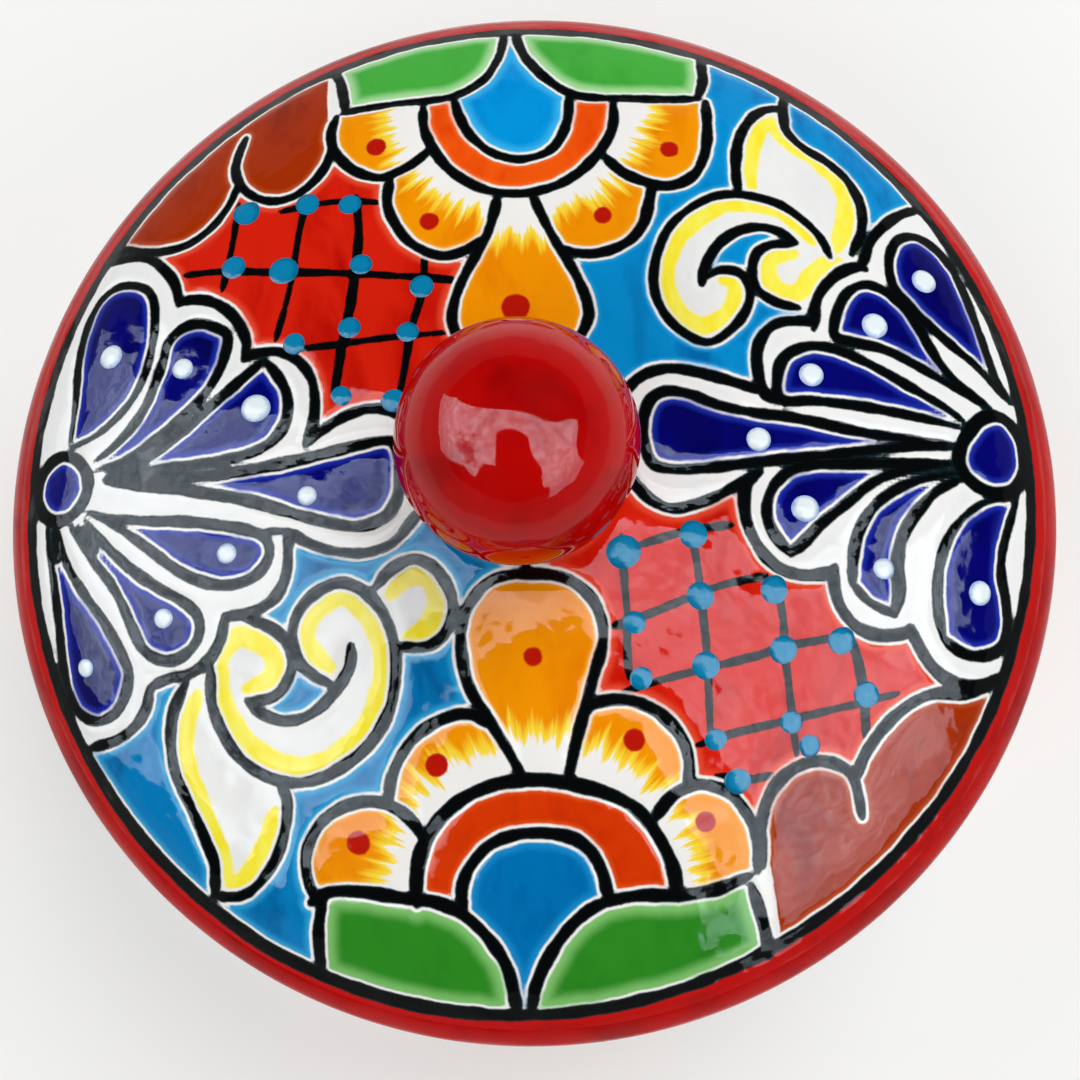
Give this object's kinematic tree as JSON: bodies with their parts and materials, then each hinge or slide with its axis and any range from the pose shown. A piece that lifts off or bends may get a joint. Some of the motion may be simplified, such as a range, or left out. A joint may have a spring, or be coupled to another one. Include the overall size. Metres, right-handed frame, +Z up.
{
  "type": "tortilla serving dish",
  "caption": "Round covered dish in hand-painted glazed earthenware for keeping tortillas warm: dish on a foot ring, domed lid with locating flange and ball knob.",
  "frame": {"origin": "centre of the circle that the foot ring stands on, at table level", "axes": "+Z up along the axis that the dish, lid and knob are turned about; -Y towards the picture's viewer; +X to the viewer's right"},
  "size_m": [0.254, 0.254, 0.1427],
  "materials": {
    "painted_glaze_dish": "gloss glaze, hand-painted",
    "painted_glaze_lid": "gloss glaze, hand-painted",
    "cream_glaze": "gloss glaze",
    "red_glaze": "gloss glaze",
    "fired_clay": "matt, bare fired clay"
  },
  "bodies": {
    "dish": {"dish_body": "painted_glaze_dish", "dish_foot_ring": "fired_clay"},
    "lid": {"lid_dome": "painted_glaze_lid", "lid_flange": "cream_glaze", "lid_knob": "red_glaze"}
  },
  "joints": [
    {"name": "lid_lift", "type": "slide", "parent": "dish", "child": "lid", "axis": [0, 0, 1], "range_m": [0, 0.15]}
  ]
}
